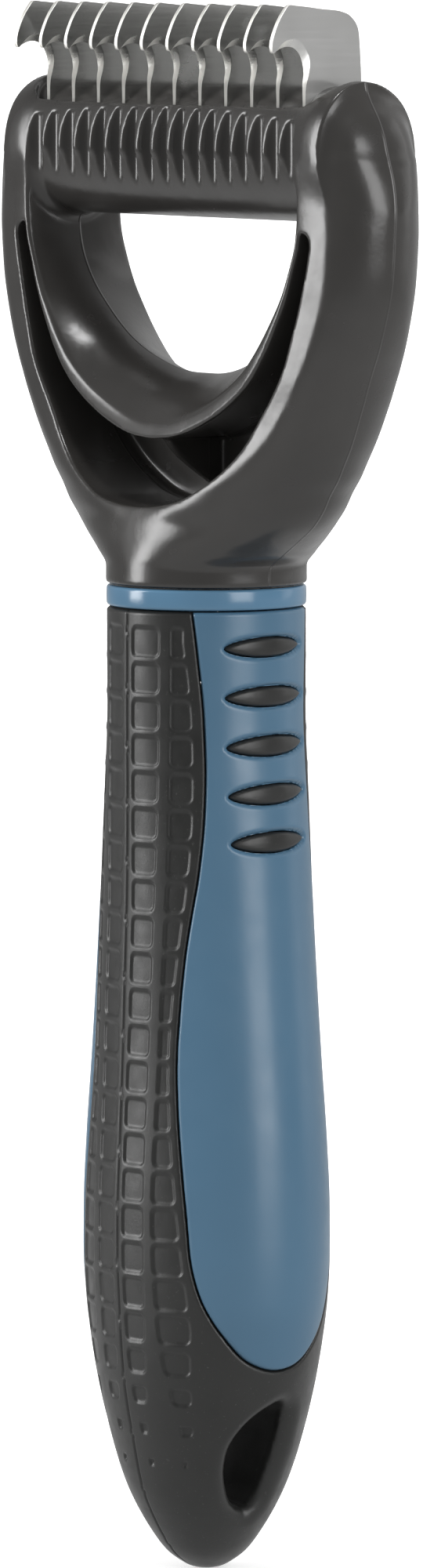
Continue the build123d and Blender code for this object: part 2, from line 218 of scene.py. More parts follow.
class Nodes:
    """Shorthand for building a shader node tree."""

    def __init__(self, tree):
        self.tree = tree
        self.coord = self.add("ShaderNodeTexCoord")

    def add(self, kind, **props):
        node = self.tree.nodes.new(kind)
        for key, value in props.items():
            setattr(node, key, value)
        return node

    def link(self, source, target):
        self.tree.links.new(source, target)

    def feed(self, socket, value):
        """Set the socket to a value, or link another socket to it."""
        if isinstance(value, (int, float, list, tuple)):
            socket.default_value = value
        else:
            self.link(value, socket)

    def mapping(self, scale, location=(0, 0, 0), rotation=(0, 0, 0)):
        node = self.add("ShaderNodeMapping")
        node.inputs["Scale"].default_value = scale
        node.inputs["Location"].default_value = location
        node.inputs["Rotation"].default_value = rotation
        self.link(self.coord.outputs["Object"], node.inputs["Vector"])
        return node.outputs[0]

    def noise(self, scale, detail=2.0, rough=0.5, vector=None):
        node = self.add("ShaderNodeTexNoise")
        node.inputs["Scale"].default_value = scale
        node.inputs["Detail"].default_value = detail
        node.inputs["Roughness"].default_value = rough
        self.link(self.coord.outputs["Object"] if vector is None else vector,
                  node.inputs["Vector"])
        return node.outputs["Fac"]

    def remap(self, value, source, target):
        """Carry the source span over to the target span, clamped."""
        node = self.add("ShaderNodeMapRange", clamp=True)
        for i, number in enumerate((*source, *target)):
            node.inputs[i + 1].default_value = number
        self.link(value, node.inputs[0])
        return node.outputs[0]

    def math(self, operation, first, second=None):
        node = self.add("ShaderNodeMath", operation=operation)
        self.feed(node.inputs[0], first)
        if second is not None:
            self.feed(node.inputs[1], second)
        return node.outputs[0]

    def axis(self, vector, index):
        node = self.add("ShaderNodeSeparateXYZ")
        self.link(vector, node.inputs[0])
        return node.outputs[index]

    def mix(self, factor, first, second):
        node = self.add("ShaderNodeMix", data_type="RGBA")
        self.link(factor, node.inputs[0])
        for i, color in ((6, first), (7, second)):
            if isinstance(color, tuple):
                color = (*color, 1)
            self.feed(node.inputs[i], color)
        return node.outputs[2]

    def mix_shader(self, factor, first, second):
        node = self.add("ShaderNodeMixShader")
        for i, source in enumerate((factor, first, second)):
            self.link(source, node.inputs[i])
        return node.outputs[0]

    def emission(self, strength):
        node = self.add("ShaderNodeEmission")
        self.feed(node.inputs["Strength"], strength)
        return node.outputs[0]

    def mottle(self, scale, colors, detail=2.0, rough=0.5):
        """Two colours in soft patches."""
        patches = self.noise(scale, detail, rough)
        return self.mix(self.remap(patches, MID_NOISE, (0, 1)), *colors)

    def bump(self, height, strength, distance, under=None):
        node = self.add("ShaderNodeBump")
        node.inputs["Strength"].default_value = strength
        node.inputs["Distance"].default_value = distance
        self.link(height, node.inputs["Height"])
        if under is not None:
            self.link(under, node.inputs["Normal"])
        return node.outputs[0]


class Material(Nodes):
    def __init__(self, name):
        self.material = bpy.data.materials.new(name)
        self.material.use_nodes = True
        super().__init__(self.material.node_tree)
        self.bsdf = self.tree.nodes["Principled BSDF"]

    def set(self, **values):
        """Feed Principled inputs, named with underscores for spaces."""
        for key, value in values.items():
            self.feed(self.bsdf.inputs[key.replace("_", " ")], value)
        return self.material

    def scratches(self, scale, angle, seed):
        """Sparse long fine lines: a stretched noise taken near its middle value."""
        vector = self.mapping(scale=(scale, scale * 0.012, scale * 0.02),
                              rotation=(angle, angle * 0.7, angle * 1.3),
                              location=(seed, seed, seed))
        stretched = self.noise(1.0, detail=0.0, rough=0.0, vector=vector)
        off_middle = self.math("ABSOLUTE", self.math("SUBTRACT", stretched, 0.5))
        line = self.remap(off_middle, (0.0, 0.02), (1.0, 0.0))
        gate = self.remap(self.noise(160, detail=1.0), (0.55, 0.62), (0.0, 1.0))
        return self.math("MULTIPLY", line, gate)


def head_material():
    """Dark warm plastic with a fine parting line along y = 0."""
    m = Material("head_plastic_look")
    color = m.mottle(70, detail=3.0, rough=0.6,
                     colors=((0.029, 0.0275, 0.0259), (0.0365, 0.0345, 0.0325)))
    rough = m.remap(m.noise(240, detail=3.0), (0.3, 0.75), (0.2, 0.29))
    relief = m.bump(m.noise(420, rough=0.55), strength=0.12, distance=0.00025)
    relief = m.bump(m.noise(1900, rough=0.6), strength=0.06, distance=0.00006, under=relief)
    depth = m.axis(m.coord.outputs["Object"], 1)
    wander = m.math("MULTIPLY", m.math("SUBTRACT", m.noise(60, detail=1.0), 0.5), 0.0003)
    off_line = m.math("ABSOLUTE", m.math("ADD", depth, wander))
    parting = m.remap(off_line, (0.00004, 0.0002), (1.0, 0.0))
    relief = m.bump(parting, strength=0.55, distance=0.00009, under=relief)
    return m.set(Base_Color=color, Roughness=rough, Normal=relief, IOR=1.53)


def rubber_material():
    """Near-black soft rubber with pale dust specks."""
    m = Material("soft_rubber_look")
    color = m.mottle(90, detail=4.0, rough=0.65,
                     colors=((0.0085, 0.0088, 0.0082), (0.0125, 0.013, 0.0122)))
    dust = m.remap(m.noise(2600, rough=0.7), (0.66, 0.74), (0.0, 1.0))
    color = m.mix(m.math("MULTIPLY", dust, 0.25), color, (0.12, 0.12, 0.115))
    rough = m.remap(m.noise(500, detail=3.0), MID_NOISE, (0.34, 0.46))
    relief = m.bump(m.noise(3200, detail=3.0, rough=0.6), strength=0.25, distance=0.00004)
    relief = m.bump(m.noise(700), strength=0.08, distance=0.00012, under=relief)
    return m.set(Base_Color=color, Roughness=rough, Normal=relief, IOR=1.49, Sheen_Weight=0.03)


def blue_material(name, rough_span, bump, colors):
    m = Material(name)
    color = m.mottle(45, detail=3.0, rough=0.6, colors=colors)
    rough = m.remap(m.noise(380, detail=3.0), MID_NOISE, rough_span)
    fine = m.noise(1500, detail=3.0, rough=0.6)
    relief = m.bump(fine, strength=0.10 * bump, distance=0.00005)
    relief = m.bump(m.noise(420), strength=0.10 * bump, distance=0.00015, under=relief)
    return m.set(Base_Color=color, Roughness=rough, Normal=relief, IOR=1.49)


def blade_material():
    """Brushed, scratched steel, paler and duller on edges and slopes."""
    m = Material("blade_steel_look")
    brush = m.noise(1.0, detail=3.0, rough=0.6, vector=m.mapping(scale=(400, 60, 2600)))
    color = m.mottle(120, colors=((0.56, 0.56, 0.55), (0.64, 0.64, 0.63)))
    scratches = m.math("MAXIMUM", m.scratches(scale=900, angle=0.35, seed=5.0),
                       m.scratches(scale=700, angle=2.2, seed=9.0))
    rough = m.math("ADD", m.remap(brush, MID_NOISE, (0.1, 0.2)),
                   m.math("MULTIPLY", scratches, 0.2))
    relief = m.bump(brush, strength=0.05, distance=0.00003)
    relief = m.bump(scratches, strength=0.12, distance=0.00002, under=relief)
    # surfaces turned away from the X axis, that is all but the flat faces
    geometry = m.add("ShaderNodeNewGeometry")
    facing = m.math("ABSOLUTE", m.axis(geometry.outputs["True Normal"], 0))
    sloped = m.remap(facing, (0.93, 0.975), (1.0, 0.0))
    color = m.mix(sloped, color, (0.84, 0.83, 0.79))
    rough = m.math("ADD", rough, m.math("MULTIPLY", sloped, 0.34))
    # the outermost face, at +X, is less metallic
    outermost = m.remap(m.axis(geometry.outputs["Position"], 0), (0.0253, 0.0254), (0.0, 1.0))
    loss = m.math("ADD", m.math("MULTIPLY", outermost, 0.3), m.math("MULTIPLY", scratches, 0.3))
    metallic = m.math("SUBTRACT", 0.95, loss)
    return m.set(Base_Color=color, Metallic=metallic, Roughness=rough, Normal=relief)


def rod_material():
    m = Material("rod_steel_look")
    brush = m.noise(1.0, rough=0.6, vector=m.mapping(scale=(3000, 200, 200)))
    return m.set(Base_Color=(0.6, 0.6, 0.61, 1), Metallic=1.0,
                 Roughness=m.remap(brush, MID_NOISE, (0.25, 0.4)))


HEAD_PLASTIC = head_material()
RUBBER = rubber_material()
CORE_PLASTIC = blue_material("core_plastic_look", rough_span=(0.28, 0.36), bump=1.0,
                             colors=((0.069, 0.153, 0.238), (0.063, 0.141, 0.221)))
RING_PLASTIC = blue_material("ring_plastic_look", rough_span=(0.14, 0.22), bump=0.5,
                             colors=((0.095, 0.205, 0.32), (0.088, 0.192, 0.3)))
BLADE_STEEL = blade_material()
ROD_STEEL = rod_material()


# ----------------------------------------------------------------------------
# head frame: one moulding, modelled as a distance field so its faces blend
# ----------------------------------------------------------------------------
HEAD_STEP = 0.25                      # grid spacing
HEAD_BOX = ((-37.5, 37.5), (-13.2, 13.2), (119.8, 183.2))     # grid extent in x, y, z
HEAD_FOOT_Z = 120.8

# height, half width, half depth, X reach of the rounded sides
HEAD_STATIONS = [
    (118.0, 12.4, 12.1, 12.4), (120.8, 12.4, 12.1, 12.4), (122.9, 12.5, 12.07, 12.5),
    (124.8, 15.25, 11.95, 14.97), (126.7, 18.36, 11.75, 17.63), (128.6, 21.18, 11.45, 20.36),
    (130.5, 23.01, 11.0, 18.0), (132.4, 24.27, 10.4, 15.0), (134.3, 25.82, 9.75, 12.2),
    (136.2, 27.0, 9.15, 9.9), (138.1, 28.19, 8.7, 8.2), (140.0, 29.16, 8.4, 7.0),
    (141.9, 30.008, 8.2, 6.2), (143.8, 30.85, 8.05, 5.6), (145.7, 31.61, 7.95, 5.2),
    (147.6, 32.457, 7.85, 4.9), (149.5, 33.385, 7.75, 4.9), (151.4, 34.165, 7.65, 4.9),
    (153.3, 34.845, 7.55, 4.9), (155.2, 35.453, 7.45, 4.9), (157.1, 35.93, 7.38, 4.9),
    (159.0, 36.227, 7.32, 4.9), (162.8, 36.57, 7.25, 4.9), (166.6, 36.843, 7.22, 5.4),
    (170.4, 37.015, 7.2, 6.1), (172.3, 37.05, 7.2, 6.5), (174.2, 36.41, 7.2, 6.9),
    (177.6, 36.2, 7.2, 7.4), (186.0, 33.0, 7.2, 7.6),
]
# half outlines (x, z), from the +X side down to the centre line
OPENING_MIDDLE = [   # opening at half depth
    (26.9, 205.0), (26.7, 180.0), (26.4, 171.0), (25.9, 164.6), (24.8, 160.0), (22.6, 156.6),
    (19.8, 153.8), (14.4, 149.8), (8.9, 147.5), (3.5, 146.3), (0.0, 146.2),
]
POCKET_OUTER = [     # outer edge of the pockets
    (29.05, 162.2), (28.3, 158.8), (27.25, 155.0), (25.95, 151.0), (24.5, 147.2),
    (22.4, 143.9), (20.7, 141.6), (17.9, 137.9), (14.7, 135.0), (11.5, 133.0), (8.2, 131.5),
    (4.5, 130.7), (0.0, 130.4),
]
LIP = [              # inner edge of the pockets
    (27.7, 205.0), (27.5, 170.0), (27.35, 164.5), (27.0, 162.2), (26.05, 159.5),
    (24.9, 156.2), (23.3, 153.0), (21.1, 149.3), (18.3, 145.8), (14.3, 142.8), (9.9, 140.6),
    (5.0, 139.0), (0.0, 138.5),
]
POCKET_TOP = [(27.4, 164.0), (28.3, 163.75), (28.9, 163.2), (29.05, 162.2)]   # at +X, (x, z)
ARM_TOP = [          # silhouette at the top of the +X arm, (x, z)
    (60.0, 150.0), (35.9, 172.0), (34.4, 176.0), (33.0, 178.4), (31.6, 180.1), (29.9, 181.2),
    (27.6, 181.9),
]
# (height, value) stations
FACE_FALL = [(121, 0.0), (124, 0.01), (128, 0.05), (131, 0.09), (134, 0.13), (138, 0.15)]
LIP_THICKNESS = [(138, 1.25), (140, 1.2), (143, 1.1), (147, 0.9), (152, 0.65), (156, 0.5),
                 (163, 0.42), (170, 0.6)]
RIB_FRONT = [        # hollowed front edge of the rib, (y, z)
    (-6.5, 140.2), (-6.1, 138.3), (-4.8, 136.65), (-3.1, 135.3), (-1.5, 134.2), (0.36, 133.0),
    (2.2, 131.6), (2.6, 129.0),
]
RIB_BACK = [(3.4, 129.0), (3.8, 131.6), (5.2, 134.0), (6.2, 137.0), (6.5, 140.2)]   # (y, z)

# cross bar between the arms: an elliptic section
BAR_Z, BAR_HALF_HEIGHT, BAR_HALF_LENGTH = 173.4, 8.4, 31.0
BAR_SCALE = 7.2              # turns the relative distance to the bar into mm
WEB_Y, WEB_HALF = 3.0, 1.0   # wall left between the front and back pockets
RIB_HALF = 0.7
SCOOP_HALF_LENGTH, SCOOP_HALF_DEPTH, SCOOP_CORNER = 29.4, 5.3, 3.6
SCOOP_Y, SCOOP_FLOOR_Z, SCOOP_WALL = -0.25, 176.0, 0.5
NOTCHES, NOTCH_PITCH = 17, 3.13


def bar_half_depth(x):
    """The bar thickens towards its ends."""
    return 6.75 + 0.5 * np.clip((np.abs(x) - 20.5) / 9.5, 0, 1) ** 1.8


class HeadGrid:
    """Sample points of the head field, and 2D shapes spread over them."""

    def __init__(self):
        self.xs, self.ys, self.zs = (np.arange(low, high + HEAD_STEP / 2, HEAD_STEP)
                                     for low, high in HEAD_BOX)
        self.origin = np.array([self.xs[0], self.ys[0], self.zs[0]])
        self.step = self.xs[1] - self.xs[0]
        self.x = self.xs[:, None, None].astype(np.float32)
        self.y = self.ys[None, :, None].astype(np.float32)
        self.z = self.by_height(self.zs)

    def by_height(self, values):
        return values[None, None, :].astype(np.float32)

    def stations(self, rows):
        return self.by_height(np.interp(self.zs, *zip(*rows)))

    def seen_along_y(self, outline):
        x, z = np.meshgrid(self.xs, self.zs, indexing="ij")
        return outline_distance(x, z, outline).astype(np.float32)[:, None, :]

    def seen_along_x(self, outline):
        y, z = np.meshgrid(self.ys, self.zs, indexing="ij")
        return outline_distance(y, z, outline).astype(np.float32)[None, :, :]


def head_blank(grid):
    """The solid outer form, from the station table."""
    x, y, z = grid.x, grid.y, grid.z
    heights, *columns = zip(*HEAD_STATIONS)
    columns = [monotone(heights, column)(grid.zs) for column in columns]
    taper = grid.by_height(np.gradient(columns[0], grid.zs))
    half_width, half_depth, reach = map(grid.by_height, columns)
    # front and back faces fall away from the pocket edge outwards
    pocket_edge = mirrored([(28.6, 205.0), (28.6, 175.0)] + POCKET_OUTER)
    away = np.maximum(grid.seen_along_y(spline(pocket_edge)) + 2.0, 0)
    ease = 3.2   # distance over which the fall sets in
    half_depth = half_depth - grid.stations(FACE_FALL) * np.where(
        away < ease, away * away / (2 * ease), away - ease / 2)
    over = np.abs(x) - (half_width - reach)
    over_in = np.maximum(over, 0)
    up = np.maximum(z - BAR_Z, 0) / BAR_HALF_HEIGHT
    level = np.sqrt((over_in / reach) ** 2 + (y / half_depth) ** 2 + up ** 2) + 1e-4
    # dividing by the gradient turns the level into a distance
    gradient = np.sqrt((over_in / reach ** 2) ** 2 + (y / half_depth ** 2) ** 2
                       + (up / BAR_HALF_HEIGHT) ** 2) / level
    body = (level - 1) / np.maximum(gradient, 1 / half_depth)
    sideways = (over_in / reach ** 2) / np.maximum(gradient * level, 1e-3)
    return body / np.sqrt(1 + (taper * np.clip(sideways, 0, 1)) ** 2)


def round_arm_tops(grid, body):
    """Round the arm tops, both from the side and from the front."""
    x, y, z = grid.x, grid.y, grid.z
    depth = bar_half_depth(x)
    fade = np.clip((BAR_Z - z) / 7.0, 0, 1)
    fade = fade * fade * (3 - 2 * fade)
    wide = np.clip((np.abs(x) - 26.0) / 5.0, 0, 1)
    round_depth = depth + 0.9 * wide * wide * (3 - 2 * wide) + (10.5 - depth) * fade
    up = np.maximum(z - BAR_Z, 0) / BAR_HALF_HEIGHT
    top = (np.sqrt((y / round_depth) ** 2 + up ** 2) - 1) * 7.6
    top = np.where(z > 162.0, top, -8.0)   # only near the top
    side = [tuple(p) for p in spline(ARM_TOP)]
    silhouette = grid.seen_along_y([(-60.0, 100), (60.0, 100)] + side + flipped(side))
    body = smooth_max(body, top, blend=0.5)
    return smooth_max(body, silhouette, blend=2.4)


def cut_opening(grid, body, lip):
    """Opening below the bar, flaring out towards the front and back faces."""
    middle = grid.seen_along_y(spline(mirrored(OPENING_MIDDLE)))
    flare = np.clip(np.abs(grid.y) / 8.8, 0, 1.3)
    flare = 0.22 * flare + 0.78 * flare ** 1.9
    opening = middle + (lip + grid.stations(LIP_THICKNESS) - middle) * flare
    opening = np.maximum(opening, grid.z - BAR_Z)   # closed off inside the bar
    return smooth_max(body, -opening, blend=0.5)


def bar_section(grid):
    section = np.sqrt((grid.y / bar_half_depth(grid.x)) ** 2
                      + ((grid.z - BAR_Z) / BAR_HALF_HEIGHT) ** 2)
    return (section - 1) * BAR_SCALE


def cut_pockets(grid, body, lip):
    """Pockets front and back, with a web left between them."""
    outer = grid.seen_along_y(np.vstack([
        spline(mirrored(POCKET_OUTER)), spline(flipped(POCKET_TOP), steps=4),
        spline(POCKET_TOP, steps=4)]))
    pocket = smooth_max(outer, -lip, blend=0.7)
    web = WEB_HALF - np.abs(grid.y - WEB_Y)
    return smooth_max(body, -smooth_max(pocket, web, blend=0.8), blend=0.4)


def add_rib(grid, body):
    """Upright rib across the pockets, on the centre line."""
    side_view = grid.seen_along_x(np.vstack([spline(RIB_FRONT), np.array(RIB_BACK)]))
    rib = smooth_max(side_view, np.abs(grid.x) - RIB_HALF, blend=0.25)
    return smooth_min(body, rib, blend=0.5)


def cut_scoop(grid, body, bar):
    """Long hollow along the crest of the bar."""
    plan = rounded_box(np.abs(grid.x) - (SCOOP_HALF_LENGTH - SCOOP_CORNER),
                       np.abs(grid.y - SCOOP_Y) - (SCOOP_HALF_DEPTH - SCOOP_CORNER),
                       SCOOP_CORNER)
    plan = smooth_max(plan, SCOOP_FLOOR_Z - grid.z, blend=0.5)
    scoop = smooth_max(plan, -(bar + SCOOP_WALL), blend=0.45)
    return smooth_max(body, -scoop, blend=0.22)


def cut_notches(grid, body):
    """Row of upright notches in the front of the bar."""
    for i in range(NOTCHES):
        centre = (i - NOTCHES // 2) * NOTCH_PITCH
        half_height = 4.25 - 1.15 * (abs(centre) / 25.0) ** 2
        depth = float(bar_half_depth(centre))
        deep = depth * (1 - math.sqrt(1 - (half_height / BAR_HALF_HEIGHT) ** 2)) + 0.02
        near = np.abs(grid.xs - centre) < 1.4
        off = (grid.xs[near] - centre)[:, None, None].astype(np.float32)
        floor = -depth + deep * 1.06 * (1 - (np.abs(off) / 0.98) ** 2.2)
        # only the region in front of the notch floor and near the bar
        cut = np.maximum((grid.y - floor) * 0.75, np.abs(grid.z - BAR_Z) - half_height - 0.6)
        body[near] = smooth_max(body[near], -cut, blend=0.16)
    return body


def head_field(grid):
    lip = grid.seen_along_y(spline(mirrored(LIP)))
    bar = bar_section(grid)
    body = round_arm_tops(grid, head_blank(grid))
    body = cut_opening(grid, body, lip)
    ended_bar = np.maximum(bar, np.abs(grid.x) - BAR_HALF_LENGTH)
    body = smooth_min(body, ended_bar, blend=1.8)
    body = cut_pockets(grid, body, lip)
    body = add_rib(grid, body)
    body = cut_scoop(grid, body, bar)
    body = cut_notches(grid, body)
    return smooth_max(body, HEAD_FOOT_Z - grid.z, blend=0.45)


CELL_CORNERS = [(i, j, k) for i in (0, 1) for j in (0, 1) for k in (0, 1)]


def surface_nets(grid, field):
    """Quads around the zero level, one vertex in each cell that it crosses."""
    inside = field < 0
    cells_x, cells_y, cells_z = (n - 1 for n in field.shape)
    count = np.zeros((cells_x, cells_y, cells_z), np.int8)
    for i, j, k in CELL_CORNERS:
        count += inside[i:cells_x + i, j:cells_y + j, k:cells_z + k]
    active = (count > 0) & (count < 8)
    cells = np.argwhere(active)
    index = np.full(active.shape, -1, np.int32)
    index[active] = np.arange(len(cells), dtype=np.int32)
    total = np.zeros((len(cells), 3))
    crossings = np.zeros(len(cells))
    value = {c: field[cells[:, 0] + c[0], cells[:, 1] + c[1], cells[:, 2] + c[2]].astype(float)
             for c in CELL_CORNERS}
    for corner in CELL_CORNERS:
        for axis in range(3):
            if corner[axis]:
                continue
            other = list(corner)
            other[axis] = 1
            start, end = value[corner], value[tuple(other)]
            crossed = (start < 0) != (end < 0)
            t = np.where(crossed, start / np.where(crossed, start - end, 1), 0)
            for d in range(3):
                total[:, d] += np.where(crossed, corner[d] + (t if d == axis else 0), 0)
            crossings += crossed
    verts = (cells + total / crossings[:, None]) * grid.step + grid.origin
    faces = []
    for axis in range(3):
        others = [d for d in range(3) if d != axis]
        near, far = [slice(1, -1)] * 3, [slice(1, -1)] * 3
        near[axis] = slice(0, -1)
        far[axis] = slice(1, None)
        near_inside = inside[tuple(near)]
        edges = np.argwhere(near_inside != inside[tuple(far)])
        flip = near_inside[edges[:, 0], edges[:, 1], edges[:, 2]]
        edges = edges + 1
        edges[:, axis] -= 1
        quad = []
        for shift in ((-1, -1), (0, -1), (0, 0), (-1, 0)):
            cell = edges.copy()
            cell[:, others[0]] += shift[0]
            cell[:, others[1]] += shift[1]
            quad.append(index[cell[:, 0], cell[:, 1], cell[:, 2]])
        quad = np.stack(quad, 1)
        if axis == 1:
            flip = ~flip
        faces.append(np.where(flip[:, None], quad, quad[:, ::-1]))
    return verts, np.vstack(faces)


def sample(grid, field, points):
    """Trilinear value of the field at any points."""
    scaled = (points - grid.origin) / grid.step
    cell = np.clip(np.floor(scaled).astype(int), 0, np.array(field.shape) - 2)
    t = scaled - cell
    out = 0
    for i, j, k in CELL_CORNERS:
        weight = np.abs(1 - i - t[:, 0]) * np.abs(1 - j - t[:, 1]) * np.abs(1 - k - t[:, 2])
        out = out + weight * field[cell[:, 0] + i, cell[:, 1] + j, cell[:, 2] + k]
    return out


def build_head():
    grid = HeadGrid()
    field = head_field(grid)
    verts, faces = surface_nets(grid, field)
    # two steps along the gradient settle the vertices on the surface
    reach = HEAD_STEP * 0.6
    for _ in range(2):
        level = sample(grid, field, verts)
        gradient = np.stack([(sample(grid, field, verts + shift)
                              - sample(grid, field, verts - shift)) / (2 * reach)
                             for shift in np.eye(3) * reach], 1)
        steepness = np.maximum((gradient * gradient).sum(1), 0.05)
        verts = verts - np.clip(level / steepness, -0.1, 0.1)[:, None] * gradient
    place(new_mesh("head_shell", verts, faces), HEAD_PLASTIC, "head_frame", "head_plastic")


# ----------------------------------------------------------------------------
# blades: flat plates across X, outlines in (y, z)
# ----------------------------------------------------------------------------
BLADES, BLADE_PITCH = 11, 5.08
BLADE_BEVEL = 0.09

THROAT_FACE = [      # hollow front edge, where it meets the flat faces
    (-4.86, 176.5), (-4.86, 179.2), (-4.76, 181.3), (-4.42, 182.5), (-4.2, 183.8),
    (-4.32, 184.75), (-4.85, 185.82), (-5.75, 186.71), (-6.81, 186.96), (-7.86, 186.67),
    (-8.9, 185.86), (-9.44, 185.3),
]
THROAT_EDGE = [      # the same edge at the middle of the thickness
    (-5.08, 176.5), (-5.08, 179.35), (-5.09, 181.9), (-4.95, 182.8), (-5.05, 183.6),
    (-5.32, 184.5), (-5.8, 185.3), (-6.45, 185.8), (-7.2, 185.98), (-7.95, 185.92),
    (-8.75, 185.62), (-9.42, 185.26),
]
BLADE_OUTER = [      # from the front tip over the top and down the back
    (-9.58, 185.22), (-9.75, 185.32), (-9.88, 185.65), (-9.9, 186.35), (-9.72, 187.1),
    (-9.38, 187.98), (-8.64, 189.39), (-7.72, 190.6), (-7.55, 190.8), (-7.38, 190.88),
    (-6.2, 190.84), (-4.86, 190.72), (-2.5, 190.44), (0.87, 190.02), (1.7, 189.72),
    (2.26, 189.28), (2.75, 188.75), (3.09, 188.1), (3.25, 187.4), (3.32, 186.68),
    (3.53, 183.7), (3.64, 181.0), (3.64, 176.5),
]
THROAT_POINTS, OUTER_POINTS = 70, 110
# x from the middle plane, share of the way from edge to face outline, share of the bevel
BLADE_LAYERS = [
    (0.27, 1.0, 1.0), (0.265, 0.97, 0.45), (0.25, 0.9, 0.12), (0.0, 0.0, 0.0),
    (-0.25, 0.9, 0.12), (-0.265, 0.97, 0.45), (-0.27, 1.0, 1.0),
]


def resample(points, count):
    """Evenly spaced points along a line."""
    lengths = np.r_[0, np.cumsum(np.linalg.norm(np.diff(points, axis=0), axis=1))]
    even = np.linspace(0, lengths[-1], count)
    return np.stack([np.interp(even, lengths, points[:, 0]),
                     np.interp(even, lengths, points[:, 1])], 1)


def offset_in(loop, distances):
    """Closed loop moved inwards, each point by its own distance."""
    after = np.roll(loop, -1, 0)
    tangent = after - np.roll(loop, 1, 0)
    tangent /= np.maximum(np.linalg.norm(tangent, axis=1), 1e-9)[:, None]
    normal = np.stack([-tangent[:, 1], tangent[:, 0]], 1)
    area = np.sum(loop[:, 0] * after[:, 1] - after[:, 0] * loop[:, 1]) / 2
    if area < 0:
        normal = -normal
    return loop + normal * distances[:, None]


def blade_layers():
    """(x, outline) of each layer through the blade's thickness."""
    outer = resample(spline(BLADE_OUTER), OUTER_POINTS)
    face = np.vstack([resample(spline(THROAT_FACE), THROAT_POINTS), outer])
    edge = np.vstack([resample(spline(THROAT_EDGE), THROAT_POINTS), outer])
    # the bevel runs round the outer edge and sets in over its first six points
    bevel = np.r_[np.zeros(THROAT_POINTS), np.full(OUTER_POINTS, BLADE_BEVEL)]
    bevel[THROAT_POINTS:THROAT_POINTS + 6] = np.linspace(0, BLADE_BEVEL, 6)
    return [(x, offset_in(edge + (face - edge) * to_face, bevel * share))
            for x, to_face, share in BLADE_LAYERS]


def blade_mesh(name, layers, centre):
    verts = [(centre + x, y, z) for x, loop in layers for y, z in loop]
    count = len(layers[0][1])
    last = (len(layers) - 1) * count
    faces = []
    for start in range(0, last, count):
        for i in range(count):
            j = (i + 1) % count
            faces.append((start + i, start + j, start + count + j, start + count + i))
    faces.append(tuple(range(count))[::-1])
    faces.append(tuple(last + i for i in range(count)))
    ob = new_mesh(name, verts, faces)
    bm = bmesh.new()
    bm.from_mesh(ob.data)
    bmesh.ops.recalc_face_normals(bm, faces=bm.faces)
    flat = [face for face in bm.faces if len(face.verts) > 10]
    for face in flat:
        face.smooth = False
    bmesh.ops.triangulate(bm, faces=flat)
    mark_sharp(bm, angle=0.6)
    bm.to_mesh(ob.data)
    bm.free()
    return ob


def build_blades():
    layers = blade_layers()
    for i in range(BLADES):
        number = f"{i + 1:02d}"
        blade = blade_mesh(f"blade_plate_{number}", layers, (i - BLADES // 2) * BLADE_PITCH)
        place(blade, BLADE_STEEL, f"blade_{number}", "blade_steel")


# ----------------------------------------------------------------------------
# collar ring between handle and head
# ----------------------------------------------------------------------------
RING_RADIUS, RING_BORE = 12.12, 9.3
RING_BOTTOM, RING_TOP = 118.1, 120.6
RING_ROUND = 0.42    # edge rounding
RING_BULGE = 0.03    # barrel of the outer wall


def lathe(name, profile, segments=256):
    """Closed (radius, z) profile turned round the Z axis."""
    profile = np.asarray(profile, float)
    count = len(profile)
    angle = np.linspace(0, 2 * math.pi, segments, endpoint=False)[:, None]
    radius, z = profile[None, :, 0], profile[None, :, 1]
    verts = np.stack([radius * np.cos(angle), radius * np.sin(angle),
                      np.broadcast_to(z, (segments, count))], -1).reshape(-1, 3)
    i, j = np.meshgrid(np.arange(segments), np.arange(count), indexing="ij")
    i_next, j_next = (i + 1) % segments, (j + 1) % count
    faces = np.stack([i * count + j, i_next * count + j, i_next * count + j_next,
                      i * count + j_next], -1).reshape(-1, 4)
    return new_mesh(name, verts, faces)


def build_ring():
    rim = RING_RADIUS - RING_ROUND
    high, low = RING_TOP - RING_ROUND, RING_BOTTOM + RING_ROUND
    top_edge = [(rim + RING_ROUND * math.cos(t), high + RING_ROUND * math.sin(t))
                for t in np.linspace(math.pi / 2, 0, 8)]
    wall = [(RING_RADIUS + RING_BULGE * math.sin(math.pi * t), high - (high - low) * t)
            for t in (0.2, 0.4, 0.6, 0.8)]
    bottom_edge = [(rim + RING_ROUND * math.cos(t), low - RING_ROUND * math.sin(t))
                   for t in np.linspace(0, math.pi / 2, 8)]
    profile = [(RING_BORE, RING_BOTTOM), (RING_BORE, RING_TOP)] + top_edge + wall + bottom_edge
    place(lathe("collar_band", profile[::-1]), RING_PLASTIC, "collar_ring", "ring_plastic")


# ----------------------------------------------------------------------------
# handle surface: elliptic sections; theta is 0 at +X and -90 degrees at the front
# ----------------------------------------------------------------------------
# height, half width (X), half depth (Y)
HANDLE_STATIONS = [
    (0.0, 0.05, 0.05), (0.3, 1.75, 1.75), (1.0, 3.15, 3.15), (2.3, 4.84, 4.84),
    (4.75, 6.7, 6.7), (7.2, 8.19, 8.15), (9.6, 9.45, 9.36), (12.0, 10.6, 10.15),
    (14.4, 11.75, 10.7), (16.9, 12.7, 11.2), (19.3, 13.45, 11.74), (24.1, 14.75, 12.6),
    (28.9, 15.95, 13.07), (33.8, 16.9, 13.35), (39.5, 17.18, 13.62), (45.0, 17.1, 13.62),
    (53.0, 16.75, 13.28), (62.7, 15.8, 12.86), (72.3, 14.9, 12.53), (86.6, 13.8, 12.11),
    (96.2, 13.0, 12.05), (105.8, 12.2, 12.1), (117.9, 12.08, 12.07),
]
HANDLE_TOP = HANDLE_STATIONS[-1][0]
TIP_ROWS = [0.0, 0.02, 0.08, 0.18, 0.32, 0.5, 0.72, 0.98, 1.28, 1.6]   # grid rows at the tip
ROW_STEP = 0.2
COLUMNS = 600
